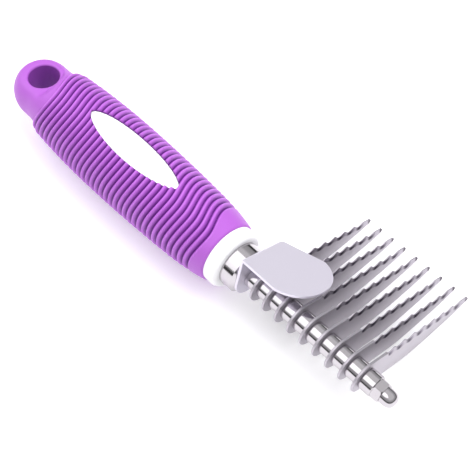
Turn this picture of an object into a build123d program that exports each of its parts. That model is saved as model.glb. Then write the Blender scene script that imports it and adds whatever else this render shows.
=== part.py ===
"""Undercoat rake with a soft grip and nine serrated blades on a threaded rod.

Millimetres. The rod lies along +X, towards the acorn nut. +Z is up, +Y is the side that the blades reach to.
The origin is the middle of the hang hole, on the rod's axis.
"""
from build123d import *
import math
import os

# Handle, measured along X from the hang hole
TAIL_REACH = 13.65
CAP_RADIUS = 11.95
CAP_HALF_HEIGHT = 9.0
HANG_HOLE_RADIUS = 6.1
GRIP_START = 9.0
GRIP_START_RADIUS = 14.5
BELLY_X = 42.0
BELLY_RADIUS = 16.1
WAIST_X = 88.0
WAIST_RADIUS = 14.5
GRIP_FRONT = 104.3
GRIP_FRONT_RADIUS = 12.0
GRIP_WALL = 1.3
TAIL_WALL = 8.5
RIB_PITCH = 2.6
RIB_DEPTH = 0.7
RIB_INSET = 0.5
RIB_FRONT_BAND = 8.5
CURVE_STEP = 8.0
WINDOW_START = 31.9
WINDOW_END = 79.4
WINDOW_HALF_WIDTH = 6.0

# Collar of the core and the ferrule in it
COLLAR_LENGTH = 5.0
COLLAR_STEP = 0.5
COLLAR_ROUND = 2.0
FERRULE_LENGTH = 6.5
FERRULE_RADIUS = 8.7
FERRULE_CHAMFER = 1.3
FERRULE_SHANK_LENGTH = 8.0
FERRULE_SHANK_RADIUS = 6.0

# Rod and the insert that holds it
ROD_RADIUS = 2.0
ROD_END_CHAMFER = 0.4
THREAD_PITCH = 0.7
NUT_TURNS = 8
INSERT_LENGTH = 20.0
INSERT_ACROSS_FLATS = 9.0

# Stack on the rod
BLADE_COUNT = 9
BLADE_THICKNESS = 0.9
SPACER_LENGTH = 4.9
SPACER_RADIUS = 4.0
SPACER_CHAMFER = 0.2
PLATE_THICKNESS = 1.0

# The head is turned about the rod, so that the blades rest on the floor
HEAD_TILT = 20.5

# Blade outline: U runs out along the cutting edge, W stands up from it
EYE_RADIUS = 6.25
TOP_STRAIGHT = 8.6
CREST_FIRST = 13.3
CREST_HEIGHT = 6.1
SCALLOP_PITCH = 5.8
SCALLOP_DEPTH = 1.9
BLADE_REACH = 58.0
LAST_RUN = 8.0
TIP_WIDTH = 1.8
BELLY_END = 27.0
BELLY_DROP = 0.6
SWEEP_SAG = 1.1

# Thumb rest: its tongue lies over the rod, its tab hangs on it
TONGUE_HEIGHT = 11.4
TONGUE_LENGTH = 25.3
TONGUE_NEAR_EDGE = -8.9
TONGUE_FAR_EDGE = 16.7
TONGUE_ROOT_FAR = 9.6
TONGUE_CORNER = 1.6
NEAR_STRAIGHT = 15.5
FAR_STRAIGHT = 16.1
NOSE_Y = 6.6
ROUND_FULLNESS = 0.69
TAB_EYE_RADIUS = 7.5
BEND_RADIUS = 1.2

# Acorn nut
NUT_ACROSS_FLATS = 7.0
NUT_HEX_HEIGHT = 3.2
NUT_HEIGHT = 8.0
NUT_NECK_RADIUS = 3.1
NUT_NECK_LENGTH = 1.5
NUT_CHAMFER = 0.35

# Clearances
RUNNING_CLEARANCE = 0.05
STACK_CLEARANCE = 0.08
SEAT_CLEARANCE = 0.03

# Repeats and stations along X that follow from the sizes above
RIB_COUNT = int((GRIP_FRONT - RIB_FRONT_BAND - GRIP_START - RIB_INSET) / RIB_PITCH)
CREST_COUNT = 1 + int((BLADE_REACH - LAST_RUN - CREST_FIRST) / SCALLOP_PITCH)
COLLAR_FRONT = GRIP_FRONT + COLLAR_LENGTH
FERRULE_FRONT = COLLAR_FRONT + FERRULE_LENGTH
STACK_START = FERRULE_FRONT + PLATE_THICKNESS
STACK_PITCH = SPACER_LENGTH + BLADE_THICKNESS
NUT_SEAT = STACK_START + BLADE_COUNT * STACK_PITCH + SPACER_LENGTH
THREAD_ENGAGEMENT = NUT_TURNS * THREAD_PITCH
SHANK_START = COLLAR_FRONT - FERRULE_SHANK_LENGTH
INSERT_START = SHANK_START - INSERT_LENGTH
STACK_BORE = ROD_RADIUS + STACK_CLEARANCE


def along_x(radius, start, end):
    """A round bar along X, from one station to the other."""
    return Plane.YZ.offset(start) * extrude(Circle(radius), end - start)


def turned(edges):
    """The solid that a closed outline above the X axis sweeps when it turns about that axis."""
    return revolve(make_face(edges), Axis.X, 360)


def grip_radius(x):
    """The radius of the grip's ribs at a station: widest at the belly, drawn in towards both ends."""
    if x < BELLY_X:
        share = (BELLY_X - x) / (BELLY_X - GRIP_START)
        return BELLY_RADIUS - (BELLY_RADIUS - GRIP_START_RADIUS) * share**2
    narrowing = (BELLY_RADIUS - WAIST_RADIUS) / (WAIST_X - BELLY_X) ** 2
    radius = BELLY_RADIUS - narrowing * (x - BELLY_X) ** 2
    if x > WAIST_X:
        front = BELLY_RADIUS - narrowing * (GRIP_FRONT - BELLY_X) ** 2
        share = (x - WAIST_X) / (GRIP_FRONT - WAIST_X)
        radius -= (front - GRIP_FRONT_RADIUS) * share**2
    return radius


def barrel_curve(inset, start, end):
    """The barrel's smooth outline between two stations, set in from the ribs' crests."""
    steps = 2 + round((end - start) / CURVE_STEP)
    stations = [start + (end - start) * index / steps for index in range(steps + 1)]
    return Spline(*[(x, grip_radius(x) - inset) for x in stations])


def down_to_axis(top, start_x):
    """The three lines that close an outline: down from its front end, along the axis, up again."""
    front = top[-1] @ 1
    back = top[0] @ 0
    lines = [
        Line((front.X, front.Y), (front.X, 0)),
        Line((front.X, 0), (start_x, 0)),
        Line((start_x, 0), (back.X, back.Y)),
    ]
    return turned(top + lines)


def core_barrel():
    """The barrel inside the grip."""
    start = GRIP_START + TAIL_WALL
    return down_to_axis([barrel_curve(GRIP_WALL, start, GRIP_FRONT)], start)


def ribbed_barrel():
    """The barrel's outside: round ribs side by side, and a smooth band in front of them."""
    first = GRIP_START + RIB_INSET
    last = first + RIB_COUNT * RIB_PITCH
    grooves = [first + index * RIB_PITCH for index in range(RIB_COUNT + 1)]
    top = [Line((GRIP_START, grip_radius(first) - RIB_DEPTH), (first, grip_radius(first) - RIB_DEPTH))]
    for left, right in zip(grooves, grooves[1:]):
        middle = (left + right) / 2
        foot = (left, grip_radius(left) - RIB_DEPTH)
        crest = (middle, grip_radius(middle))
        next_foot = (right, grip_radius(right) - RIB_DEPTH)
        top.append(ThreePointArc(foot, crest, next_foot))
    band_start = (last, grip_radius(last))
    top.append(Line((last, grip_radius(last) - RIB_DEPTH), band_start))
    top.append(barrel_curve(0, last, GRIP_FRONT))
    return down_to_axis(top, GRIP_START)


def tail_cap():
    """The smooth cap behind the ribs: a ball on a short bar, flat above and below the hang hole."""
    ball_x = CAP_RADIUS - TAIL_REACH
    bar_end = GRIP_START + TAIL_WALL / 2
    halfway = CAP_RADIUS * math.sqrt(0.5)
    rounded = turned([
        ThreePointArc((-TAIL_REACH, 0), (ball_x - halfway, halfway), (ball_x, CAP_RADIUS)),
        Line((ball_x, CAP_RADIUS), (bar_end, CAP_RADIUS)),
        Line((bar_end, CAP_RADIUS), (bar_end, 0)),
        Line((bar_end, 0), (-TAIL_REACH, 0)),
    ])
    slab = Box(4 * bar_end, 4 * CAP_RADIUS, 2 * CAP_HALF_HEIGHT)
    return rounded & slab


def window_cutter():
    """An oval, cut down through the top of the grip as far as the rod's axis."""
    middle = (WINDOW_START + WINDOW_END) / 2
    oval = Ellipse((WINDOW_END - WINDOW_START) / 2, WINDOW_HALF_WIDTH)
    return Pos(middle, 0, 0) * extrude(oval, 2 * BELLY_RADIUS)


def core():
    """The hard core: the barrel inside the grip, and the collar that stands in front of it."""
    collar = along_x(GRIP_FRONT_RADIUS - COLLAR_STEP, GRIP_FRONT, COLLAR_FRONT)
    front_edge = collar.edges().sort_by(Axis.X)[-1]
    collar = fillet(front_edge, COLLAR_ROUND)
    body = core_barrel() + collar
    shank_hole = along_x(FERRULE_SHANK_RADIUS + SEAT_CLEARANCE, SHANK_START, COLLAR_FRONT)
    across = INSERT_ACROSS_FLATS / 2 + SEAT_CLEARANCE
    insert_sketch = RegularPolygon(across, 6, major_radius=False)
    insert_hole = Plane.YZ.offset(INSERT_START) * extrude(insert_sketch, INSERT_LENGTH)
    return body - shank_hole - insert_hole


def grip():
    """The soft sleeve over the core, with its tail cap, its window and its hang hole."""
    hang_hole = Cylinder(HANG_HOLE_RADIUS, 4 * CAP_HALF_HEIGHT)
    body = ribbed_barrel() + tail_cap()
    return body - core_barrel() - window_cutter() - hang_hole


def rod_insert():
    """The hexagonal brass insert that is moulded in the core and holds the rod's thread."""
    sketch = RegularPolygon(INSERT_ACROSS_FLATS / 2, 6, major_radius=False)
    bar = Plane.YZ.offset(INSERT_START) * extrude(sketch, INSERT_LENGTH)
    return bar - along_x(ROD_RADIUS + SEAT_CLEARANCE, INSERT_START, SHANK_START)


def ferrule():
    """The bright ferrule: a broad head in front of the collar, and a shank in the core."""
    head = along_x(FERRULE_RADIUS, COLLAR_FRONT, FERRULE_FRONT)
    front_edge = head.edges().sort_by(Axis.X)[-1]
    head = chamfer(front_edge, FERRULE_CHAMFER)
    shank = along_x(FERRULE_SHANK_RADIUS, SHANK_START, COLLAR_FRONT)
    return head + shank - along_x(STACK_BORE, SHANK_START, FERRULE_FRONT)


def threaded_rod():
    """The rod, from the insert's back end to as deep in the nut as the thread goes."""
    rod = along_x(ROD_RADIUS, INSERT_START, NUT_SEAT + THREAD_ENGAGEMENT)
    ends = rod.edges().filter_by(GeomType.CIRCLE)
    return chamfer(ends, ROD_END_CHAMFER)


def head_plane(x):
    """The plane across the rod at x: its first axis runs out along the blades' cutting edge."""
    tilt = math.radians(HEAD_TILT)
    return Plane(origin=(x, 0, 0), x_dir=(0, math.cos(tilt), -math.sin(tilt)), z_dir=(1, 0, 0))


def scallops():
    """The cutting edge: arcs that dip between the crests, and a last long one up to the tip."""
    crests = [(TOP_STRAIGHT, EYE_RADIUS)]
    for index in range(CREST_COUNT):
        crests.append((CREST_FIRST + index * SCALLOP_PITCH, CREST_HEIGHT))
    crests.append((BLADE_REACH - TIP_WIDTH / 2, CREST_HEIGHT))
    arcs = []
    for left, right in zip(crests, crests[1:]):
        middle = (left[0] + right[0]) / 2
        arcs.append(ThreePointArc(left, (middle, CREST_HEIGHT - SCALLOP_DEPTH), right))
    return arcs, crests[-1]


def blade(x):
    """One blade: an eye on the rod, a straight top, a scalloped edge and a long curved belly."""
    arcs, tip_top = scallops()
    tip_bottom = (tip_top[0], CREST_HEIGHT - TIP_WIDTH)
    tip_end = (tip_top[0] + TIP_WIDTH / 2, CREST_HEIGHT - TIP_WIDTH / 2)
    eye_bottom = (0, -EYE_RADIUS)
    belly_end = (BELLY_END, -EYE_RADIUS)
    belly_low = (BELLY_END / 2, -EYE_RADIUS - BELLY_DROP)
    sweep_middle = ((belly_end[0] + tip_bottom[0]) / 2, (belly_end[1] + tip_bottom[1]) / 2 - SWEEP_SAG)
    outline = [
        Line((0, EYE_RADIUS), (TOP_STRAIGHT, EYE_RADIUS)),
        *arcs,
        ThreePointArc(tip_top, tip_end, tip_bottom),
        ThreePointArc(tip_bottom, sweep_middle, belly_end),
        ThreePointArc(belly_end, belly_low, eye_bottom),
        Line(eye_bottom, (0, EYE_RADIUS)),
    ]
    profile = make_face(outline) + Circle(EYE_RADIUS) - Circle(STACK_BORE)
    return head_plane(x) * extrude(profile, BLADE_THICKNESS)


def spacer(x):
    """One tube between two neighbours of the stack."""
    tube = along_x(SPACER_RADIUS, x, x + SPACER_LENGTH)
    tube = chamfer(tube.edges().filter_by(GeomType.CIRCLE), SPACER_CHAMFER)
    return tube - along_x(STACK_BORE, x, x + SPACER_LENGTH)


def tongue_outline():
    """The tongue from above: first axis along X from the tab's back, second axis outwards."""
    near_end = (NEAR_STRAIGHT, TONGUE_NEAR_EDGE)
    far_end = (FAR_STRAIGHT, TONGUE_FAR_EDGE)
    nose = (TONGUE_LENGTH, NOSE_Y)
    near_round = (
        NEAR_STRAIGHT + ROUND_FULLNESS * (TONGUE_LENGTH - NEAR_STRAIGHT),
        NOSE_Y + ROUND_FULLNESS * (TONGUE_NEAR_EDGE - NOSE_Y),
    )
    far_round = (
        FAR_STRAIGHT + ROUND_FULLNESS * (TONGUE_LENGTH - FAR_STRAIGHT),
        NOSE_Y + ROUND_FULLNESS * (TONGUE_FAR_EDGE - NOSE_Y),
    )
    return make_face([
        Line((0, TONGUE_NEAR_EDGE), near_end),
        ThreePointArc(near_end, near_round, nose),
        ThreePointArc(nose, far_round, far_end),
        Line(far_end, (TONGUE_CORNER, TONGUE_ROOT_FAR + TONGUE_CORNER)),
        Line((TONGUE_CORNER, TONGUE_ROOT_FAR + TONGUE_CORNER), (0, TONGUE_ROOT_FAR)),
        Line((0, TONGUE_ROOT_FAR), (0, TONGUE_NEAR_EDGE)),
    ])


def thumb_rest():
    """The bent plate: a tab with an eye on the rod, and a tongue that lies over the stack."""
    tab_outline = make_face(Polyline(
        (-TAB_EYE_RADIUS, 0),
        (TONGUE_NEAR_EDGE, TONGUE_HEIGHT),
        (TONGUE_ROOT_FAR, TONGUE_HEIGHT),
        (TAB_EYE_RADIUS, 0),
        close=True,
    ))
    tab_profile = tab_outline + Circle(TAB_EYE_RADIUS) - Circle(STACK_BORE)
    tab = head_plane(FERRULE_FRONT) * extrude(tab_profile, PLATE_THICKNESS)
    across = head_plane(FERRULE_FRONT)
    over_rod = Plane(
        origin=across.origin + across.y_dir * (TONGUE_HEIGHT - PLATE_THICKNESS),
        x_dir=(1, 0, 0),
        z_dir=across.y_dir,
    )
    # looked at from above, the plane's second axis runs along the blades
    tongue = over_rod * extrude(tongue_outline(), PLATE_THICKNESS)
    plate = tab + tongue
    bend = plate.edges().filter_by(lambda edge: is_bend(edge, across))
    return fillet(bend, BEND_RADIUS)


def is_bend(edge, across):
    """True for the straight edge along the outside of the bend."""
    middle = edge.position_at(0.5) - across.origin
    at_back = abs(middle.X) < 0.01
    at_top = abs(middle.dot(across.y_dir) - TONGUE_HEIGHT) < 0.01
    return at_back and at_top


def acorn_nut():
    """The domed nut: a chamfered hexagon, a short neck and a rounded cap over a blind hole."""
    corner = NUT_ACROSS_FLATS / math.sqrt(3)
    hexagon_sketch = RegularPolygon(NUT_ACROSS_FLATS / 2, 6, major_radius=False)
    hexagon = Plane.YZ.offset(NUT_SEAT) * extrude(hexagon_sketch, NUT_HEX_HEIGHT)
    rounding = chamfer(along_x(corner, NUT_SEAT, NUT_SEAT + NUT_HEX_HEIGHT).edges()
                       .filter_by(GeomType.CIRCLE), NUT_CHAMFER)
    neck_end = NUT_SEAT + NUT_HEX_HEIGHT + NUT_NECK_LENGTH
    neck = along_x(NUT_NECK_RADIUS, NUT_SEAT, neck_end)
    tip = NUT_SEAT + NUT_HEIGHT
    dome = turned([
        Spline((neck_end, NUT_NECK_RADIUS), (tip, 0), tangents=[(1, 0), (0, -1)]),
        Line((tip, 0), (neck_end, 0)),
        Line((neck_end, 0), (neck_end, NUT_NECK_RADIUS)),
    ])
    bore = along_x(ROD_RADIUS + RUNNING_CLEARANCE, NUT_SEAT, NUT_SEAT + THREAD_ENGAGEMENT + RUNNING_CLEARANCE)
    return (hexagon & rounding) + neck + dome - bore


def assembly():
    """Every piece under its own name."""
    pieces = {
        "grip": grip(),
        "handle_core": core(),
        "rod_insert": rod_insert(),
        "ferrule": ferrule(),
        "threaded_rod": threaded_rod(),
        "thumb_rest": thumb_rest(),
        "acorn_nut": acorn_nut(),
    }
    for index in range(BLADE_COUNT + 1):
        pieces[f"spacer_{index + 1}"] = spacer(STACK_START + index * STACK_PITCH)
    for index in range(BLADE_COUNT):
        pieces[f"blade_{index + 1}"] = blade(STACK_START + index * STACK_PITCH + SPACER_LENGTH)
    return pieces


os.makedirs("parts", exist_ok=True)
for name, piece in assembly().items():
    export_step(piece, f"parts/{name}.step")
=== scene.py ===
"""Undercoat rake: soft ribbed grip, white core, chromed stack and nine blades with a wavy edge.

Lengths in the shape functions are millimetres, in the frame of the CAD model: the rod runs along
+X, +Z is up and +Y is the side that the blades reach to. A surface is put into Blender in metres.
"""
import math

import bmesh
import bpy
import numpy as np
from mathutils import Matrix, Vector


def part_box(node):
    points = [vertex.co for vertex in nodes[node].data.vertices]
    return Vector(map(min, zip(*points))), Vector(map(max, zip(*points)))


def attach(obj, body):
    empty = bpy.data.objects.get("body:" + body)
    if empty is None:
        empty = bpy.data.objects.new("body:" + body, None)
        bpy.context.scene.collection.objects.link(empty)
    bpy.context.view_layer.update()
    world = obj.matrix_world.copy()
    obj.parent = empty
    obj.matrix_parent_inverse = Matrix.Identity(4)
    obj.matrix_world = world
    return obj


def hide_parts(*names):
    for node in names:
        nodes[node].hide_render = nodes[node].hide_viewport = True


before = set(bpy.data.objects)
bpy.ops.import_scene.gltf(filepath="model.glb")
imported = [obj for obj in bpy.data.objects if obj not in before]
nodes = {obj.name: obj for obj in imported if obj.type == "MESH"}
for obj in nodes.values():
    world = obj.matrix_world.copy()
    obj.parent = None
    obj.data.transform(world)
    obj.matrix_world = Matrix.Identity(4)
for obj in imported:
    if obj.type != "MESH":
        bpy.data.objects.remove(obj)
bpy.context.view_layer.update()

MM = 0.001
WELD = 1e-6


# ---------------------------------------------------------------- stations that the CAD model gives
def in_order(start):
    """The CAD nodes whose names have the same start, from the grip outwards."""
    return sorted((name for name in nodes if name.startswith(start)),
                  key=lambda name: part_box(name)[0].x)


GRIP_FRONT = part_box("grip")[1].x / MM
TAIL_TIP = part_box("grip")[0].x / MM
FLOOR_Z = min(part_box(name)[0].z for name in nodes) / MM
BLADE_THICKNESS = (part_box("blade_1")[1].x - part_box("blade_1")[0].x) / MM
BLADES = in_order("blade_")
SPACERS = in_order("spacer_")

# ---------------------------------------------------------------- sizes, in mm and degrees
# the grip's radius over its ribs, at four stations
BELLY_X = 42.0
BELLY_RADIUS = 16.05
GRIP_START = 9.0
GRIP_START_RADIUS = 14.5
WAIST_X = 88.0
WAIST_RADIUS = 14.5
GRIP_FRONT_RADIUS = 12.0
SLEEVE_WALL = 1.3
FRONT_ROUND = 0.7

# the ribs: the first and last x are those on the ridge line, where they lean least
RIBS = 34
RIB_FIRST_X = 13.2
RIB_LAST_X = 99.9
RIB_DEPTH = 1.22
RIB_TIGHTENING = 0.10
RIB_FULLNESS = 0.75
RIB_PEAK_ANGLE = 116.0
FIRST_RIB_DROP = 0.7
FIRST_RIB_RISE = 1.4

# how far the ribs fall back from the ridge line and over what angle, each at the tail and in front
NEAR_LEAN = (8.3, 3.2)
NEAR_SPREAD = (66.0, 52.0)
FAR_LEAN = (7.0, 5.3)
FAR_SPREAD = (51.0, 42.0)
UNDER_LEAN = (3.2, 1.7)
UNDER_FROM = 95.0
UNDER_RUN = 70.0

# the window in the sleeve
WINDOW_MIDDLE_X = 55.7
WINDOW_HALF_LENGTH = 23.8
WINDOW_ANGLE = 92.0
WINDOW_HALF_ANGLE = 22.0
WINDOW_POINTEDNESS = 0.57

# the tail cap
CAP_RADIUS = 11.9
CAP_HEIGHT = 9.0
CAP_END = 19.0
CAP_SOFTNESS = 11.0
CAP_OVER_GROOVE = 0.05
SWELL_START = 0.5
SWELL_RUN = 6.0
FLAT_CLIMB = 7.0
CLIMB_RUN = 6.4
CLIMB_CLEAR_OF_HOLE = 3.0
HANG_HOLE = 6.1
HOLE_ROUND = 0.8

# the blades: along is measured from the rod's axis, and head tilt turns them down about the rod
HEAD_TILT = 20.5
EYE_RADIUS = 6.25
ROD_HOLE = 2.1
TOP_STRAIGHT = 8.6
CREST_FIRST = 13.3
CREST_PITCH = 5.8
CREST_HEIGHT = 6.1
LAST_CREST = 53.9
WAVE_DEPTH = 1.5
BLADE_REACH = 58.0
TIP_WIDTH = 1.8
BELLY_END = 27.0
BELLY_BULGE = 0.6
SWEEP_BULGE = 1.1
BROKEN_EDGE = 0.12
BEVEL_WIDTH = 1.3
BEVEL_FOLLOWS = 0.55
BEVEL_DEPTH = 0.5
BEVEL_RUN_IN = 3.0

# the line inside a blade that its faces are drawn from: round the hole, then along a spine
HOLE_SIDE_TO = 9.0
SPINE_RUN_IN = 8.0
SPINE_LEVEL_TO = 14.0
SPINE_RISE = 56.333
SPINE_INSET = 0.4

# the thumb rest
PLATE_EDGE = 0.22
FLAT_WITHIN = 1.0
EDGE_SHARPER_THAN = 40.0

# how finely the surfaces are divided
SLEEVE_AROUND = 117
LEAD_RINGS = 76
LEAD_TO = 30.0
RING_STEP = 0.25
LAST_STEP = 0.1
ROUND_STEPS = 7
CAP_TURNS = 144
CAP_STEPS = 30
EYE_STEPS = 24
STRAIGHT_STEPS = 12
WAVE_STEPS = 260
TIP_STEPS = 15
SWEEP_STEPS = 60
BELLY_STEPS = 40

# passes that settle a value that depends on itself, and what keeps a division or a power off zero
LEAN_PASSES = 4
OUTLINE_PASSES = 40
LEAST = 0.02
SAME = 0.01

# painted shade on the rubber, from 0 on a crest to 1 in a groove: a little on the smooth band and
# cap, more in the hang hole
SMOOTH_SHADE = 0.3
HOLE_SHADE = 0.6


# ---------------------------------------------------------------- small tools
def hex_colour(text):
    """An sRGB hex colour as the linear RGBA that a shader takes."""
    channels = [int(text[i:i + 2], 16) / 255 for i in (1, 3, 5)]
    linear = [c / 12.92 if c <= 0.04045 else ((c + 0.055) / 1.055) ** 2.4 for c in channels]
    return (*linear, 1.0)


def add(tree, kind, inputs=None, **settings):
    """Adds a node with its settings, and sets or links its inputs."""
    new = tree.nodes.new(kind)
    for key, value in settings.items():
        setattr(new, key, value)
    for key, value in (inputs or {}).items():
        if isinstance(value, bpy.types.NodeSocket):
            tree.links.new(value, new.inputs[key])
        else:
            new.inputs[key].default_value = value
    return new


def new_material(name):
    """An empty node material with its output and its shader joined up."""
    material = bpy.data.materials.new(name)
    material.use_nodes = True
    tree = material.node_tree
    tree.nodes.clear()
    shader = add(tree, "ShaderNodeBsdfPrincipled")
    add(tree, "ShaderNodeOutputMaterial", {"Surface": shader.outputs["BSDF"]})
    return material, tree, shader


def smoothstep(t):
    """0 below 0, 1 above 1, and a cubic ease between them."""
    t = np.clip(t, 0.0, 1.0)
    return t * t * (3 - 2 * t)


def between(ends, share):
    """The value that lies a share of the way from the first end to the second."""
    return ends[0] + (ends[1] - ends[0]) * share


def mesh_object(name, points, faces, body, stands_for, floats,
                smooth=True, face_materials=None):
    """Puts points in mm and quads into one mesh, merges its doubles and turns its faces outwards.
    Floats are the mesh's attributes, with a value for each point."""
    mesh = bpy.data.meshes.new(name)
    mesh.from_pydata(np.asarray(points) * MM, [], np.asarray(faces).tolist())
    for key, values in floats.items():
        layer = mesh.attributes.new(key, "FLOAT", "POINT")
        layer.data.foreach_set("value", np.asarray(values, np.float32))
    if face_materials is not None:
        mesh.polygons.foreach_set("material_index", np.asarray(face_materials, np.int32))
    shape = bmesh.new()
    shape.from_mesh(mesh)
    bmesh.ops.remove_doubles(shape, verts=shape.verts, dist=WELD)
    bmesh.ops.recalc_face_normals(shape, faces=shape.faces)
    shape.to_mesh(mesh)
    shape.free()
    mesh.polygons.foreach_set("use_smooth", np.full(len(mesh.polygons), smooth))
    piece = bpy.data.objects.new(name, mesh)
    bpy.context.scene.collection.objects.link(piece)
    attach(piece, body)
    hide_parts(stands_for)
    return piece


def quads(columns, rows, wrap_columns, wrap_rows):
    """The quads of a grid whose point (column, row) has the index column * rows + row."""
    column = np.arange(columns if wrap_columns else columns - 1)
    row = np.arange(rows if wrap_rows else rows - 1)
    c, r = np.meshgrid(column, row, indexing="ij")
    c2 = (c + 1) % columns
    r2 = (r + 1) % rows
    corners = [c * rows + r, c2 * rows + r, c2 * rows + r2, c * rows + r2]
    return np.stack(corners, axis=-1)


# ---------------------------------------------------------------- the grip
def grip_radius(x):
    """Radius over the ribs' crests: a parabola each side of the belly, and a second one past the
    waist that turns the front in."""
    back = (BELLY_X - x) / (BELLY_X - GRIP_START)
    tail = BELLY_RADIUS - (BELLY_RADIUS - GRIP_START_RADIUS) * back ** 2
    narrowing = (BELLY_RADIUS - WAIST_RADIUS) / (WAIST_X - BELLY_X) ** 2
    front = BELLY_RADIUS - narrowing * (x - BELLY_X) ** 2
    front_end = BELLY_RADIUS - narrowing * (GRIP_FRONT - BELLY_X) ** 2
    turn = np.clip((x - WAIST_X) / (GRIP_FRONT - WAIST_X), 0, None) ** 2
    front = front - (front_end - GRIP_FRONT_RADIUS) * turn
    return np.where(x < BELLY_X, tail, front)


def rib_lean(share, angle):
    """How far a rib is carried along the rod at an angle round it: not at all on the ridge line
    near the top, back by a bell curve on each side of it, and eased to one value under the grip.
    Share is 0 at the tail and 1 in front."""
    away = (angle - RIB_PEAK_ANGLE + 180) % 360 - 180
    near = 1 - np.exp(-(away / between(NEAR_SPREAD, share)) ** 2)
    far = 1 - np.exp(-(away / between(FAR_SPREAD, share)) ** 2)
    side = np.where(away > 0, between(NEAR_LEAN, share) * near, between(FAR_LEAN, share) * far)
    under = smoothstep((np.abs(away) - UNDER_FROM) / UNDER_RUN)
    return -side * (1 - under) - between(UNDER_LEAN, share) * under


def rib_count_at(x, angle):
    """How many ribs lie between the first groove and a point: the logarithm of what is left of
    the tail's pitch there, so that ribs get a little tighter towards the front."""
    length = RIB_LAST_X - RIB_FIRST_X
    share = (x - RIB_FIRST_X) / length
    for _ in range(LEAN_PASSES):
        share = (x - rib_lean(np.clip(share, 0, 1), angle) - RIB_FIRST_X) / length
    return RIBS * np.log(1 - RIB_TIGHTENING * share) / math.log(1 - RIB_TIGHTENING)


def ridge(count):
    """1 on a rib's crest and 0 in the groove on each side of it: a raised cosine, filled out by a
    power. Past the last groove it stays at the crest, which makes the smooth band in front."""
    part = np.where(count >= RIBS + 0.5, 0.5, np.clip(count, 0, None) % 1)
    return (0.5 - 0.5 * np.cos(2 * math.pi * part)) ** RIB_FULLNESS


def window_half_angle(x):
    """Half the angle that the window opens round the rod: a slightly pointed ellipse along x."""
    t = (x - WINDOW_MIDDLE_X) / WINDOW_HALF_LENGTH
    return WINDOW_HALF_ANGLE * np.clip(1 - t**2, 0, 1) ** WINDOW_POINTEDNESS


def sleeve_surface():
    """A ring for each station along x: outside round from one window edge to the other, down the
    window's wall and back round the inside. An outside point's radius is the crest radius less
    the rib depth times one minus ridge. The first rings follow the first rib's lean, and that rib
    stands lower, where the sleeve rises out of the tail cap."""
    lead = np.linspace(0, 1, LEAD_RINGS)
    last = GRIP_FRONT - FRONT_ROUND
    turn = np.linspace(0, math.pi / 2, ROUND_STEPS)
    stations = np.arange(LEAD_TO + RING_STEP, last - LAST_STEP, RING_STEP)
    x_line = np.concatenate([np.zeros(LEAD_RINGS), stations, last + FRONT_ROUND * np.sin(turn)])
    half = window_half_angle(x_line)
    half[:LEAD_RINGS] = 0
    part = np.linspace(0, 1, SLEEVE_AROUND)[None, :]
    angle = (WINDOW_ANGLE + half[:, None]) + part * (360 - 2 * half[:, None])
    x = np.repeat(x_line[:, None], SLEEVE_AROUND, axis=1)
    begin = RIB_FIRST_X + rib_lean(0.0, angle[:LEAD_RINGS])
    x[:LEAD_RINGS] = begin + lead[:, None] * (LEAD_TO - begin)

    count = rib_count_at(x, angle)
    shape = ridge(count)
    base = grip_radius(x) - FIRST_RIB_DROP * (1 - smoothstep(count / FIRST_RIB_RISE))
    outer = base - RIB_DEPTH * (1 - shape)
    outer[-ROUND_STEPS:] -= (FRONT_ROUND * (1 - np.cos(turn)))[:, None]
    inner = base - SLEEVE_WALL
    # painted shade: dark in the grooves, a little on the smooth band
    shade = np.where(count > RIBS + 0.5, SMOOTH_SHADE, 1 - shape)
    outside = np.stack([x, outer, angle, shade], axis=-1)
    inside = np.stack([x, inner, angle, np.ones_like(x)], axis=-1)[:, ::-1]
    rings = np.concatenate([outside, inside], axis=1)

    # a first and a last ring, folded on to the inside, close the two ends
    ends = rings[[0, -1]].copy()
    ends[:, :SLEEVE_AROUND, 1] = ends[:, SLEEVE_AROUND:, 1][:, ::-1]
    rings = np.concatenate([ends[:1], rings, ends[1:]])
    half = np.concatenate([[0.0], half, [0.0]])
    along, radius, turned = rings[..., 0], rings[..., 1], np.radians(rings[..., 2])
    points = np.stack([along, radius * np.cos(turned), radius * np.sin(turned)], axis=-1)

    # before and after the window both ends of a ring are one place, so the wall there is left out
    rows = 2 * SLEEVE_AROUND
    grid = quads(len(points), rows, False, True)
    keep = np.ones(grid.shape[:2], bool)
    shut = (half[:-1] == 0) & (half[1:] == 0)
    keep[shut, SLEEVE_AROUND - 1] = False
    keep[shut, rows - 1] = False
    return points.reshape(-1, 3), grid[keep], rings[..., 3].reshape(-1)


def first_groove_radius(x):
    """The radius at the bottom of the groove before the first rib, and a hair over it."""
    return grip_radius(x) - FIRST_RIB_DROP - RIB_DEPTH + CAP_OVER_GROOVE


def cap_half_width(x):
    """The cap's radius at a station: a quarter circle at the tail, then a bar that swells to the
    first groove."""
    centre = TAIL_TIP + CAP_RADIUS
    ball = np.sqrt(np.clip(CAP_RADIUS**2 - np.clip(centre - x, 0, None) ** 2, 0, None))
    swell = smoothstep((x - SWELL_START) / SWELL_RUN)
    return ball + (first_groove_radius(x) - CAP_RADIUS) * swell


def cap_outline(c, s):
    """How far the cap reaches from the hang hole's axis in each direction, given as its cosine and
    sine: where the cap's half width is met, found by halving the error in passes, and never past
    its two ends. Round the tail it is the circle itself."""
    reach = np.full_like(c, CAP_RADIUS)
    front = CAP_END / np.maximum(c, LEAST)
    tail = -TAIL_TIP / np.maximum(-c, LEAST)
    for _ in range(OUTLINE_PASSES):
        reach = 0.5 * reach + 0.5 * cap_half_width(reach * c) / np.maximum(np.abs(s), LEAST)
        reach = np.minimum(reach, np.where(c > 0, front, tail))
    centre = TAIL_TIP + CAP_RADIUS
    on_ball = centre * c + np.sqrt(CAP_RADIUS**2 - (centre * s) ** 2)
    return np.where(on_ball * c < centre, on_ball, reach)


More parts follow.
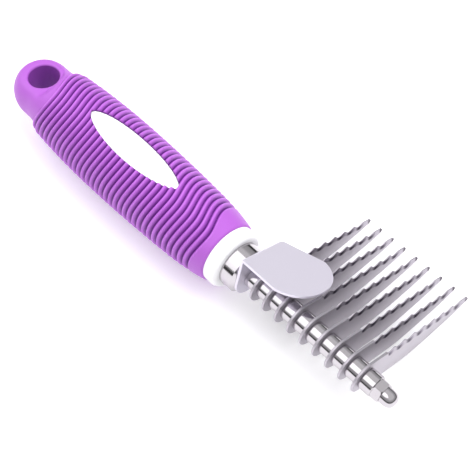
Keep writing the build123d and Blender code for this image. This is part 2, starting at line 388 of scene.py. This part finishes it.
def tail_cap_surface():
    """A ring round the hang hole, turned through 360 degrees about it: up the hole's wall, over a
    small round, out along the top to the outline, and back below. The top is the soft lesser of
    two heights: the cap's round section, and a flat that climbs to the first rib."""
    phi = np.linspace(0, 2 * math.pi, CAP_TURNS, endpoint=False)[:, None]
    c, s = np.cos(phi), np.sin(phi)
    outline = cap_outline(c, s)
    quarter = np.linspace(0, math.pi / 2, ROUND_STEPS)[None, :]
    out = np.sin(np.linspace(0, math.pi / 2, CAP_STEPS))[None, :]
    start = HANG_HOLE + HOLE_ROUND
    far = start + (outline - start) * out
    rim = HANG_HOLE + HOLE_ROUND * (1 - np.cos(quarter)) + 0 * phi
    rho = np.concatenate([rim, far[:, 1:]], axis=1)
    x = rho * c
    y = rho * s
    section = np.sqrt(np.clip(cap_half_width(x) ** 2 - y**2, LEAST**2, None))

    sides = []
    for side in (1, -1):
        angle = np.degrees(np.arctan2(side * section, y))
        climb_end = RIB_FIRST_X + rib_lean(0.0, angle)
        climb = smoothstep((x - climb_end) / CLIMB_RUN + 1)
        climb = climb * smoothstep((rho - start) / CLIMB_CLEAR_OF_HOLE)
        flat = CAP_HEIGHT + FLAT_CLIMB * climb
        z = (section**-CAP_SOFTNESS + flat**-CAP_SOFTNESS) ** (-1 / CAP_SOFTNESS)
        z[:, :ROUND_STEPS] -= HOLE_ROUND * (1 - np.sin(quarter))
        z[:, -1] = 0
        sides.append(np.stack([x, y, side * z], axis=-1))
    top, under = sides[0], sides[1][:, ::-1]
    points = np.concatenate([top, under[:, 1:]], axis=1)
    # painted shade: darker in the hang hole, a little on the rest of the cap
    shade = np.where(rho < HANG_HOLE + SAME, HOLE_SHADE, SMOOTH_SHADE)
    shade = np.concatenate([shade, shade[:, ::-1][:, 1:]], axis=1)
    faces = quads(CAP_TURNS, points.shape[1], True, True)
    return points.reshape(-1, 3), faces.reshape(-1, 4), shade.reshape(-1)


def grip():
    """The soft sleeve and its tail cap, one moulding."""
    sleeve, sleeve_faces, sleeve_shade = sleeve_surface()
    cap, cap_faces, cap_shade = tail_cap_surface()
    points = np.concatenate([sleeve, cap])
    faces = np.concatenate([sleeve_faces, cap_faces + len(sleeve)])
    shade = np.concatenate([sleeve_shade, cap_shade])
    # the groove attribute carries the painted shade
    piece = mesh_object("soft_grip", points, faces, "handle", "grip",
                        {"groove": shade})
    piece.data.materials.append(moulded_soft_rubber())


# ---------------------------------------------------------------- the blades
def cutting_edge(u):
    """Height of the cutting edge: an ease down from the straight top to the first trough, a row of
    cosine waves, and level from the last crest to the tip."""
    wave = 1 - np.cos(2 * math.pi * (u - CREST_FIRST) / CREST_PITCH)
    trough = CREST_FIRST - CREST_PITCH / 2
    fall = smoothstep((u - TOP_STRAIGHT) / (trough - TOP_STRAIGHT))
    ease = EYE_RADIUS - (EYE_RADIUS - CREST_HEIGHT + WAVE_DEPTH) * fall
    wavy = np.where(u > LAST_CREST, CREST_HEIGHT, CREST_HEIGHT - WAVE_DEPTH / 2 * wave)
    return np.where(u < trough, ease, wavy)


def arc(start, middle, end, steps):
    """Points along the circle through three points, from the first to the last. Its centre is
    where the lines half-way between the points cross."""
    (ax, ay), (bx, by), (cx, cy) = start, middle, end
    a, b, c = (x**2 + y**2 for x, y in (start, middle, end))
    d = 2 * (ax * (by - cy) + bx * (cy - ay) + cx * (ay - by))
    ux = (a * (by - cy) + b * (cy - ay) + c * (ay - by)) / d
    uy = (a * (cx - bx) + b * (ax - cx) + c * (bx - ax)) / d
    first, mid, last = (math.atan2(y - uy, x - ux) for x, y in (start, middle, end))
    mid = first + (mid - first + math.pi) % (2 * math.pi) - math.pi
    last = mid + (last - mid + math.pi) % (2 * math.pi) - math.pi
    turn = np.linspace(first, last, steps)
    radius = math.hypot(ax - ux, ay - uy)
    return np.stack([ux + radius * np.cos(turn), uy + radius * np.sin(turn)], axis=-1)


def blade_outline():
    """The blade's closed outline as points along and across it, from the back of its eye over the
    top to the tip and back below, and for each point whether it is on the upper side."""
    tip_x = BLADE_REACH - TIP_WIDTH / 2
    back = np.radians(np.linspace(180, 90, EYE_STEPS))
    eye_top = EYE_RADIUS * np.stack([np.cos(back), np.sin(back)], axis=-1)
    flat_u = np.linspace(0, TOP_STRAIGHT, STRAIGHT_STEPS)[1:]
    flat = np.stack([flat_u, np.full_like(flat_u, EYE_RADIUS)], axis=-1)
    wave_u = np.linspace(TOP_STRAIGHT, tip_x, WAVE_STEPS)[1:]
    upper = [eye_top, flat, np.stack([wave_u, cutting_edge(wave_u)], axis=-1)]

    tip_low = (tip_x, CREST_HEIGHT - TIP_WIDTH)
    tip_point = (BLADE_REACH, CREST_HEIGHT - TIP_WIDTH / 2)
    tip = arc((tip_x, CREST_HEIGHT), tip_point, tip_low, TIP_STEPS)[1:]
    belly_end = (BELLY_END, -EYE_RADIUS)
    half_way = ((tip_x + BELLY_END) / 2, (tip_low[1] - EYE_RADIUS) / 2 - SWEEP_BULGE)
    sweep = arc(tip_low, half_way, belly_end, SWEEP_STEPS)[1:]
    lowest = (BELLY_END / 2, -EYE_RADIUS - BELLY_BULGE)
    belly = arc(belly_end, lowest, (0, -EYE_RADIUS), BELLY_STEPS)[1:]
    low = np.radians(np.linspace(270, 180, EYE_STEPS))[1:-1]
    eye_low = EYE_RADIUS * np.stack([np.cos(low), np.sin(low)], axis=-1)

    outline = np.concatenate([*upper, tip, sweep, belly, eye_low])
    upper_points = sum(len(part) for part in upper) + len(tip) // 2
    return outline, np.arange(len(outline)) < upper_points


def blade_inside(u, is_upper):
    """The partner inside the blade of each point of its outline. Up to a station the partners are
    spread round the rod's hole. Past it they lie on the spine, a line that starts level from the
    hole and eases up to the middle of the tip."""
    on_hole = u < HOLE_SIDE_TO
    turn = math.pi * (1 - np.clip((u + EYE_RADIUS) / (HOLE_SIDE_TO + EYE_RADIUS), 0, 1))
    side = np.where(is_upper, 1.0, -1.0)
    hole = ROD_HOLE * np.stack([np.cos(turn), side * np.sin(turn)], axis=-1)
    spine_end = BLADE_REACH - TIP_WIDTH / 2 - SPINE_INSET
    along = ROD_HOLE + smoothstep((u - HOLE_SIDE_TO) / SPINE_RUN_IN) * (u - ROD_HOLE)
    rise = smoothstep((np.minimum(u, spine_end) - SPINE_LEVEL_TO) / SPINE_RISE)
    across = (CREST_HEIGHT - TIP_WIDTH / 2) * rise
    spine = np.stack([np.minimum(along, spine_end), across], axis=-1)
    return np.where(on_hole[:, None], hole, spine), on_hole


def blade_surface():
    """Rings of points from the hole and spine out to the outline on the near face, round the edge
    and back on the far face. Edges are broken by a small bevel. The cutting edge is ground on the
    near face instead: the face stops at a foot line that follows the waves in part, and the ground
    slope runs from there to a thin land. Hollow is 1 at the bottom of a wave and 0 on its crest,
    and paints shade on the slope, darker down in the waves."""
    outline, is_upper = blade_outline()
    u, w = outline[:, 0], outline[:, 1]
    inner, on_hole = blade_inside(u, is_upper)
    tip_x = BLADE_REACH - TIP_WIDTH / 2
    cutting = is_upper & (u > TOP_STRAIGHT - SAME) & (u <= tip_x)
    inward = inner - outline
    inward = inward / np.maximum(np.linalg.norm(inward, axis=1, keepdims=True), LEAST)
    broken = outline + inward * BROKEN_EDGE
    cut = smoothstep((u - TOP_STRAIGHT) / BEVEL_RUN_IN) * cutting
    middle = CREST_HEIGHT - WAVE_DEPTH / 2
    foot = middle - BEVEL_WIDTH + (w - middle) * BEVEL_FOLLOWS
    ground = np.stack([u, w + (foot - w) * cut], axis=-1)

    half = np.full(len(outline), BLADE_THICKNESS / 2)
    rings = [
        (inner, half),
        (np.where(cutting[:, None], ground, broken), half),
        (outline, half - BROKEN_EDGE - (BEVEL_DEPTH - BROKEN_EDGE) * cut),
        (outline, BROKEN_EDGE - half),
        (broken, -half),
        (inner, -half),
    ]
    tilt = math.radians(HEAD_TILT)
    place = np.stack([ring for ring, _ in rings])
    x = np.stack([thickness for _, thickness in rings])
    y = place[..., 0] * math.cos(tilt) + place[..., 1] * math.sin(tilt)
    z = -place[..., 0] * math.sin(tilt) + place[..., 1] * math.cos(tilt)
    points = np.stack([x, y, z], axis=-1)

    # the last row of quads, from the far face back to the near one, is only the hole's wall
    grid = quads(len(rings), len(outline), True, True)
    keep = np.ones(grid.shape[:2], bool)
    keep[-1] = on_hole & np.roll(on_hole, -1)
    kind = np.zeros(grid.shape[:2], int)
    kind[1] = (cutting | np.roll(cutting, -1)).astype(int)
    # painted shade: 1 down in a wave, 0 on its crest
    hollow = np.where(cutting, np.clip((CREST_HEIGHT - w) / WAVE_DEPTH, 0, 1), 0.0)
    return points, grid[keep], kind[keep], np.tile(hollow, len(rings))


def blades():
    """Nine of the same blade, each at its own station on the rod."""
    points, faces, kind, hollow = blade_surface()
    sheet = rolled_satin_steel()
    edge = ground_edge_steel()
    for name in BLADES:
        low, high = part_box(name)
        middle = (low.x + high.x) / 2 / MM
        place = points + np.array([middle, 0, 0])
        piece = mesh_object("scalloped_" + name, place.reshape(-1, 3), faces, "head", name,
                            {"hollow": hollow}, smooth=False, face_materials=kind)
        piece.data.materials.append(sheet)
        piece.data.materials.append(edge)


# ---------------------------------------------------------------- the thumb rest
def thumb_rest():
    """The bent plate of the CAD model, its flat faces joined up and its stamped edges broken by a
    small round."""
    mesh = nodes["thumb_rest"].data.copy()
    mesh.name = "stamped_thumb_rest"
    mesh.materials.clear()
    shape = bmesh.new()
    shape.from_mesh(mesh)
    bmesh.ops.remove_doubles(shape, verts=shape.verts, dist=WELD)
    bmesh.ops.dissolve_limit(shape, angle_limit=math.radians(FLAT_WITHIN),
                             verts=shape.verts, edges=shape.edges)
    shape.to_mesh(mesh)
    shape.free()
    mesh.polygons.foreach_set("use_smooth", np.ones(len(mesh.polygons), bool))
    mesh.materials.append(blasted_steel())
    piece = bpy.data.objects.new("stamped_thumb_rest", mesh)
    bpy.context.scene.collection.objects.link(piece)
    edge = piece.modifiers.new("broken_edge", "BEVEL")
    edge.width = PLATE_EDGE * MM
    edge.segments = 3
    edge.limit_method = "ANGLE"
    edge.angle_limit = math.radians(EDGE_SHARPER_THAN)
    even = piece.modifiers.new("flat_faces_shade_flat", "WEIGHTED_NORMAL")
    even.mode = "FACE_AREA"
    even.weight = 100
    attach(piece, "head")
    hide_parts("thumb_rest")


# ---------------------------------------------------------------- materials
# The patterns lie on Object coordinates, which are metres. A noise with so many patches to a
# millimetre has that number / MM for its scale. Where the real grain is too fine to show, the
# comment gives its size and the coarser one that is drawn.
RUBBER_GRAIN = 4.2 / MM  # spark-eroded grain under 0.1 mm, drawn as 0.24 mm
RUBBER_CLOUD = 0.3 / MM  # sheen that changes every 3.3 mm
ABS_WAVE = 0.15 / MM  # sink and flow marks, 6.7 mm apart
TURNING_LINES = (6.0 / MM, 0.03 / MM, 0.03 / MM)  # a feed of 0.17 mm, unbroken round the axis
ROLLED_GRAIN = (1.5 / MM, 0.25 / MM, 1.5 / MM)  # 0.7 mm across and 4 mm along the blade
WHEEL_SCRATCH = (0.3 / MM, 4.0 / MM, 0.3 / MM)  # 0.05 mm grit, drawn as 0.25 mm, 3.3 mm long
BEAD_MARKS = 3.5 / MM  # beads of 0.1 mm, drawn as 0.29 mm
ZINC_SPANGLE = 0.9 / MM  # crystals of 1.1 mm
BRASS_LINES = 1.5 / MM  # tool marks of 0.7 mm

# the sockets of a Mix node for colours, whose names occur more than once
FACTOR, FIRST, SECOND, RESULT = 0, 6, 7, 2


def moulded_soft_rubber():
    """Thermoplastic rubber, moulded with a fine spark-eroded texture: silky purple, duller down in
    the grooves, with painted shade that darkens it there and in the hang hole."""
    material, tree, shader = new_material("moulded_soft_rubber")
    place = add(tree, "ShaderNodeTexCoord").outputs["Object"]
    groove = add(tree, "ShaderNodeAttribute", attribute_name="groove").outputs["Fac"]
    # painted shade: the groove attribute mixes the purple towards a near black in the grooves and
    # the hang hole
    painted_shade_amount = add(tree, "ShaderNodeMath", {0: groove, 1: 1.35}, operation="POWER")
    colours = {FIRST: hex_colour("#BA66D4"), SECOND: hex_colour("#430462")}
    shade = add(tree, "ShaderNodeMix", {FACTOR: painted_shade_amount.outputs["Value"], **colours},
                data_type="RGBA")
    tree.links.new(shade.outputs[RESULT], shader.inputs["Base Color"])
    cloud = add(tree, "ShaderNodeTexNoise", {"Vector": place, "Scale": RUBBER_CLOUD, "Detail": 2.0})
    rough = add(tree, "ShaderNodeMapRange",
                {"Value": cloud.outputs["Fac"], "To Min": 0.42, "To Max": 0.52})
    tree.links.new(rough.outputs["Result"], shader.inputs["Roughness"])
    grain = add(tree, "ShaderNodeTexNoise", {"Vector": place, "Scale": RUBBER_GRAIN, "Detail": 2.0})
    bump = add(tree, "ShaderNodeBump",
               {"Height": grain.outputs["Fac"], "Strength": 0.12, "Distance": 0.05 * MM})
    tree.links.new(bump.outputs["Normal"], shader.inputs["Normal"])
    shader.inputs["IOR"].default_value = 1.5
    gloss = add(tree, "ShaderNodeMapRange", {"Value": groove, "To Min": 0.55, "To Max": 0.05})
    tree.links.new(gloss.outputs["Result"], shader.inputs["Specular IOR Level"])
    return material


def moulded_white_plastic():
    """White ABS from a polished mould: bright, with a soft gloss and the least waviness."""
    material, tree, shader = new_material("moulded_white_abs")
    place = add(tree, "ShaderNodeTexCoord").outputs["Object"]
    wave = add(tree, "ShaderNodeTexNoise", {"Vector": place, "Scale": ABS_WAVE, "Detail": 1.0})
    bump = add(tree, "ShaderNodeBump",
               {"Height": wave.outputs["Fac"], "Strength": 0.05, "Distance": 0.2 * MM})
    tree.links.new(bump.outputs["Normal"], shader.inputs["Normal"])
    shader.inputs["Base Color"].default_value = hex_colour("#F6F6F7")
    shader.inputs["Roughness"].default_value = 0.25
    shader.inputs["IOR"].default_value = 1.54
    return material


def metal(name, colour, metallic, size, detail, roughness, bumped=False):
    """A metal: its colour, how metallic it is, and a noise that moves its roughness between two
    values and may raise a grain. Size is the noise's scale, or one for each axis."""
    material, tree, shader = new_material(name)
    place = add(tree, "ShaderNodeTexCoord").outputs["Object"]
    if isinstance(size, tuple):
        place = add(tree, "ShaderNodeMapping", {"Vector": place, "Scale": size}).outputs["Vector"]
        size = 1.0
    grain = add(tree, "ShaderNodeTexNoise", {"Vector": place, "Scale": size, "Detail": detail})
    least, most = roughness
    rough = add(tree, "ShaderNodeMapRange",
                {"Value": grain.outputs["Fac"], "To Min": least, "To Max": most})
    tree.links.new(rough.outputs["Result"], shader.inputs["Roughness"])
    if bumped:
        bump = add(tree, "ShaderNodeBump",
                   {"Height": grain.outputs["Fac"], "Strength": 0.10, "Distance": 0.04 * MM})
        tree.links.new(bump.outputs["Normal"], shader.inputs["Normal"])
    shader.inputs["Base Color"].default_value = hex_colour(colour)
    shader.inputs["Metallic"].default_value = metallic
    return material


def bright_chrome():
    """Chromium plate on turned steel: mirror bright, with faint turning lines round the axis."""
    return metal("chromium_plate", "#BCB8BC", 1.0, TURNING_LINES, 2.0, (0.05, 0.14))


def rolled_satin_steel():
    """Stainless sheet, rolled and blasted: an even grey with a soft broad highlight and a fine
    grain."""
    return metal("rolled_stainless_sheet", "#B9B4BC", 0.85, ROLLED_GRAIN, 3.0, (0.40, 0.52),
                 bumped=True)


def ground_edge_steel():
    """The same steel where the wheel has ground the cutting edge: cross scratches, and painted
    shade that darkens it down in the waves."""
    # the dark colour is painted shade, mixed in down in the waves
    bright, dark = "#B4AEB8", "#605A66"
    material = metal("wheel_ground_steel", bright, 1.0, WHEEL_SCRATCH, 2.0, (0.34, 0.5))
    tree = material.node_tree
    shader = next(node for node in tree.nodes if node.type == "BSDF_PRINCIPLED")
    hollow = add(tree, "ShaderNodeAttribute", attribute_name="hollow").outputs["Fac"]
    colours = {FIRST: hex_colour(bright), SECOND: hex_colour(dark)}
    painted_hollow_shade = add(tree, "ShaderNodeMix", {FACTOR: hollow, **colours}, data_type="RGBA")
    tree.links.new(painted_hollow_shade.outputs[RESULT], shader.inputs["Base Color"])
    return material


def blasted_steel():
    """The thumb rest: stainless sheet, bead-blasted to a pale satin with hardly any reflection
    left in it."""
    return metal("bead_blasted_stainless", "#DFDAE7", 0.6, BEAD_MARKS, 2.0, (0.38, 0.5),
                 bumped=True)


def zinc_plated_steel():
    """The rod: zinc-plated steel, duller than the chrome round it."""
    return metal("zinc_plated_steel", "#A9A9AC", 1.0, ZINC_SPANGLE, 2.0, (0.25, 0.45))


def turned_brass():
    """The moulded-in insert: turned brass, seen only if the core is cut open."""
    return metal("turned_brass", "#C9A45A", 1.0, BRASS_LINES, 2.0, (0.2, 0.35))


def dress(names, material):
    """Gives CAD nodes a material."""
    for name in names:
        nodes[name].data.materials.clear()
        nodes[name].data.materials.append(material)


# ---------------------------------------------------------------- floor, light, camera, in metres
FLOOR_HALF = 3.0
FLOOR_DROP = 0.0002
FLOOR_GLOW = 0.22

# grey of the surround by how high it is seen: 0 is level and 1 straight above, with a touch of blue
LEVEL_COLOUR = (0.42, 0.41, 0.42, 1)
TOP_COLOUR = (1.0, 1.0, 1.0, 1)
SURROUND_GREYS = ((0.07, 0.06), (0.20, 0.08), (0.30, 0.5), (0.62, 0.65), (0.74, 1.0))
BLUE_TOUCH = 1.02
SURROUND_STRENGTH = 0.92

# each square lamp's name, place, width, watts, and whether the chrome mirrors it
LAMPS = (
    ("key", (0.35, 0.45, 1.1), 0.9, 11.5, False),
    ("fill", (-0.55, -0.45, 0.9), 1.4, 8.5, True),
)
LAMP_AIM = Vector((0.09, 0.0, 0.0))

AZIMUTH = math.radians(47.0)
ELEVATION = math.radians(55.17)
CAMERA_AIM = Vector((0.1003, 0.0072, 0.0))
CAMERA_DISTANCE = 0.3337
LENS_MM = 72.67
SENSOR_MM = 36.0
NEAREST_SEEN = 0.01


def floor():
    """A white sweep of floor, a hair under the tool, that glows a little so that it stays white."""
    mesh = bpy.data.meshes.new("floor")
    z = FLOOR_Z * MM - FLOOR_DROP
    corners = [(-1, -1), (1, -1), (1, 1), (-1, 1)]
    mesh.from_pydata([(x * FLOOR_HALF, y * FLOOR_HALF, z) for x, y in corners], [], [(0, 1, 2, 3)])
    sweep = bpy.data.objects.new("floor", mesh)
    bpy.context.scene.collection.objects.link(sweep)
    material, _, shader = new_material("white_sweep")
    shader.inputs["Base Color"].default_value = hex_colour("#F4F3F5")
    shader.inputs["Roughness"].default_value = 0.9
    shader.inputs["Specular IOR Level"].default_value = 0.0
    shader.inputs["Emission Color"].default_value = hex_colour("#FFFFFF")
    shader.inputs["Emission Strength"].default_value = FLOOR_GLOW
    mesh.materials.append(material)


def surround():
    """A room for the metal to mirror: dark in a low band, pale above. Looked at directly, it is
    near white all over."""
    world = bpy.data.worlds.new("surround")
    bpy.context.scene.world = world
    world.use_nodes = True
    tree = world.node_tree
    tree.nodes.clear()
    direction = add(tree, "ShaderNodeTexCoord").outputs["Generated"]
    split = add(tree, "ShaderNodeSeparateXYZ", {"Vector": direction})
    ramp = add(tree, "ShaderNodeValToRGB", {"Fac": split.outputs["Z"]})
    stops = ramp.color_ramp.elements
    stops[0].position, stops[0].color = 0.0, LEVEL_COLOUR
    stops[1].position, stops[1].color = 1.0, TOP_COLOUR
    for position, grey in SURROUND_GREYS:
        stops.new(position).color = (grey, grey, grey * BLUE_TOUCH, 1)
    seen = add(tree, "ShaderNodeLightPath").outputs["Is Camera Ray"]
    colours = {FIRST: ramp.outputs["Color"], SECOND: hex_colour("#FCFCFC")}
    colour = add(tree, "ShaderNodeMix", {FACTOR: seen, **colours}, data_type="RGBA")
    background = add(tree, "ShaderNodeBackground",
                     {"Color": colour.outputs[RESULT], "Strength": SURROUND_STRENGTH})
    add(tree, "ShaderNodeOutputWorld", {"Surface": background.outputs["Background"]})


def lamps():
    """A broad soft key from above the blades, and a broader fill from the other side."""
    for name, place, width, watts, mirrored in LAMPS:
        lamp = bpy.data.lights.new(name, "AREA")
        lamp.size = width
        lamp.energy = watts
        holder = bpy.data.objects.new(name, lamp)
        bpy.context.scene.collection.objects.link(holder)
        holder.location = place
        holder.visible_glossy = mirrored
        towards = (LAMP_AIM - Vector(place)).to_track_quat("-Z", "Y")
        holder.rotation_euler = towards.to_euler()


def camera():
    """Looks down on the tool from the front, at the angle that shows the grip's top and the
    blades' cutting edges."""
    right = Vector((math.cos(AZIMUTH), math.sin(AZIMUTH), 0))
    back = Vector((math.sin(AZIMUTH) * math.cos(ELEVATION),
                   -math.cos(AZIMUTH) * math.cos(ELEVATION),
                   math.sin(ELEVATION)))
    up = back.cross(right)
    data = bpy.data.cameras.new("view")
    data.lens = LENS_MM
    data.sensor_width = SENSOR_MM
    data.clip_start = NEAREST_SEEN
    view = bpy.data.objects.new("view", data)
    bpy.context.scene.collection.objects.link(view)
    turn = Matrix((right, up, back)).transposed().to_4x4()
    view.matrix_world = Matrix.Translation(CAMERA_AIM + back * CAMERA_DISTANCE) @ turn
    bpy.context.scene.camera = view


# ---------------------------------------------------------------- the whole tool
grip()
blades()
thumb_rest()
dress(["ferrule", "acorn_nut", *SPACERS], bright_chrome())
dress(["handle_core"], moulded_white_plastic())
dress(["threaded_rod"], zinc_plated_steel())
dress(["rod_insert"], turned_brass())
floor()
surround()
lamps()
camera()
bpy.context.scene.view_settings.view_transform = "Standard"
